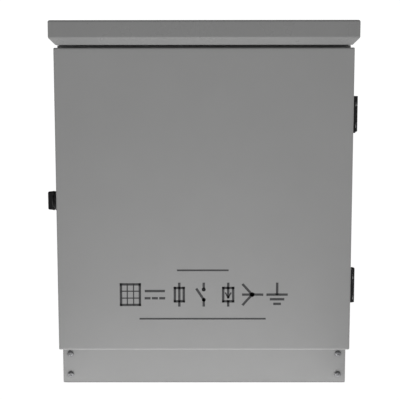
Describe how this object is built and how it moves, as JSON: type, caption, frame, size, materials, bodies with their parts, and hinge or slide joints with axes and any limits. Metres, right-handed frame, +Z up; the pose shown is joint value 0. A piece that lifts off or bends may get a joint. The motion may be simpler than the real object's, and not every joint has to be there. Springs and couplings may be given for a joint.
{
  "type": "dc combiner box",
  "caption": "Wall-mounted sheet-steel solar DC combiner cabinet: rain hood, side-hinged pan door with side lock, screwed skirt over cable glands; fuses, breaker, arrester and busbars inside.",
  "frame": {"origin": "centre of the footprint of the overall box, on the plane that the cabinet's lower edge stands on", "axes": "+Z up, -Y to the front (door side), +Y to the wall, +X to the hinge side"},
  "size_m": [0.6, 0.234, 0.7],
  "materials": {
    "grey_powder_coat": "fine orange-peel powder coat, satin",
    "zinc_plated_steel": "zinc plated, satin",
    "black_zinc_casting": "black coated die casting, satin",
    "dark_nylon": "moulded nylon, matte",
    "foam_seal": "closed-cell foam, matte",
    "pale_thermoplastic": "moulded, satin",
    "copper": "rolled copper bar, satin",
    "red_resin": "moulded resin, glossy",
    "dark_thermoset": "moulded thermoset, matte",
    "red_thermoplastic": "moulded, satin",
    "brass": "drawn brass bar, satin",
    "red_insulation": "PVC insulation",
    "black_insulation": "PVC insulation",
    "green_insulation": "PVC insulation"
  },
  "bodies": {
    "cabinet": {"back_panel": "grey_powder_coat", "top_panel": "grey_powder_coat", "side_panel_left": "grey_powder_coat", "side_panel_right": "grey_powder_coat", "door_frame": "grey_powder_coat", "rain_hood": "grey_powder_coat", "skirt_cover": "grey_powder_coat", "skirt_screw_upper_left": "zinc_plated_steel", "skirt_screw_upper_right": "zinc_plated_steel", "skirt_screw_lower_left": "zinc_plated_steel", "skirt_screw_lower_right": "zinc_plated_steel", "wall_rail_upper": "zinc_plated_steel", "wall_rail_lower": "zinc_plated_steel", "hinge_upper_body_leaf": "black_zinc_casting", "hinge_upper_pin": "zinc_plated_steel", "hinge_lower_body_leaf": "black_zinc_casting", "hinge_lower_pin": "zinc_plated_steel", "lock_striker": "zinc_plated_steel", "gland_plate": "grey_powder_coat", "string_gland_1": "dark_nylon", "string_gland_2": "dark_nylon", "string_gland_3": "dark_nylon", "string_gland_4": "dark_nylon", "output_gland_positive": "dark_nylon", "output_gland_negative": "dark_nylon", "earth_gland": "dark_nylon", "vent_plug": "dark_nylon", "component_plate": "zinc_plated_steel", "din_rail_fuses": "zinc_plated_steel", "din_rail_arrester": "zinc_plated_steel", "fuse_base_1": "pale_thermoplastic", "fuse_base_2": "pale_thermoplastic", "fuse_base_3": "pale_thermoplastic", "fuse_base_4": "pale_thermoplastic", "positive_busbar": "copper", "negative_busbar": "copper", "busbar_insulator_left": "red_resin", "busbar_insulator_right": "red_resin", "breaker_body": "dark_thermoset", "arrester_base": "pale_thermoplastic", "earth_bar": "brass", "arrester_lead_positive": "red_insulation", "arrester_lead_negative": "black_insulation", "arrester_lead_earth": "green_insulation"},
    "door": {"door_panel": "grey_powder_coat", "door_gasket": "foam_seal", "hinge_upper_door_leaf": "black_zinc_casting", "hinge_lower_door_leaf": "black_zinc_casting", "lock_housing": "black_zinc_casting", "lock_nut": "zinc_plated_steel"},
    "lock": {"lock_knob": "black_zinc_casting", "lock_tongue": "zinc_plated_steel"},
    "carrier_1": {"fuse_carrier_1": "pale_thermoplastic"},
    "carrier_2": {"fuse_carrier_2": "pale_thermoplastic"},
    "carrier_3": {"fuse_carrier_3": "pale_thermoplastic"},
    "carrier_4": {"fuse_carrier_4": "pale_thermoplastic"},
    "toggle": {"breaker_toggle": "dark_thermoset"},
    "module_1": {"arrester_module_1": "red_thermoplastic"},
    "module_2": {"arrester_module_2": "red_thermoplastic"},
    "module_3": {"arrester_module_3": "red_thermoplastic"}
  },
  "joints": [
    {"name": "door_hinge", "type": "hinge", "parent": "cabinet", "child": "door", "pos_m": [0.2853, -0.07025, 0.36075], "axis": [0, 0, 1], "range_deg": [0, 115]},
    {"name": "lock_turn", "type": "hinge", "parent": "door", "child": "lock", "pos_m": [-0.283, -0.088, 0.363], "axis": [1, 0, 0], "range_deg": [-90, 0]},
    {"name": "fuse_carrier_1_swing", "type": "hinge", "parent": "cabinet", "child": "carrier_1", "pos_m": [-0.1833, 0.028, 0.309], "axis": [1, 0, 0], "range_deg": [0, 75]},
    {"name": "fuse_carrier_2_swing", "type": "hinge", "parent": "cabinet", "child": "carrier_2", "pos_m": [-0.1113, 0.028, 0.309], "axis": [1, 0, 0], "range_deg": [0, 75]},
    {"name": "fuse_carrier_3_swing", "type": "hinge", "parent": "cabinet", "child": "carrier_3", "pos_m": [-0.0393, 0.028, 0.309], "axis": [1, 0, 0], "range_deg": [0, 75]},
    {"name": "fuse_carrier_4_swing", "type": "hinge", "parent": "cabinet", "child": "carrier_4", "pos_m": [0.0327, 0.028, 0.309], "axis": [1, 0, 0], "range_deg": [0, 75]},
    {"name": "breaker_switch", "type": "hinge", "parent": "cabinet", "child": "toggle", "pos_m": [0.1445, 0.014, 0.4945], "axis": [1, 0, 0], "range_deg": [-40, 0]},
    {"name": "arrester_module_1_pull", "type": "slide", "parent": "cabinet", "child": "module_1", "axis": [0, -1, 0], "range_m": [0, 0.05]},
    {"name": "arrester_module_2_pull", "type": "slide", "parent": "cabinet", "child": "module_2", "axis": [0, -1, 0], "range_m": [0, 0.05]},
    {"name": "arrester_module_3_pull", "type": "slide", "parent": "cabinet", "child": "module_3", "axis": [0, -1, 0], "range_m": [0, 0.05]}
  ]
}
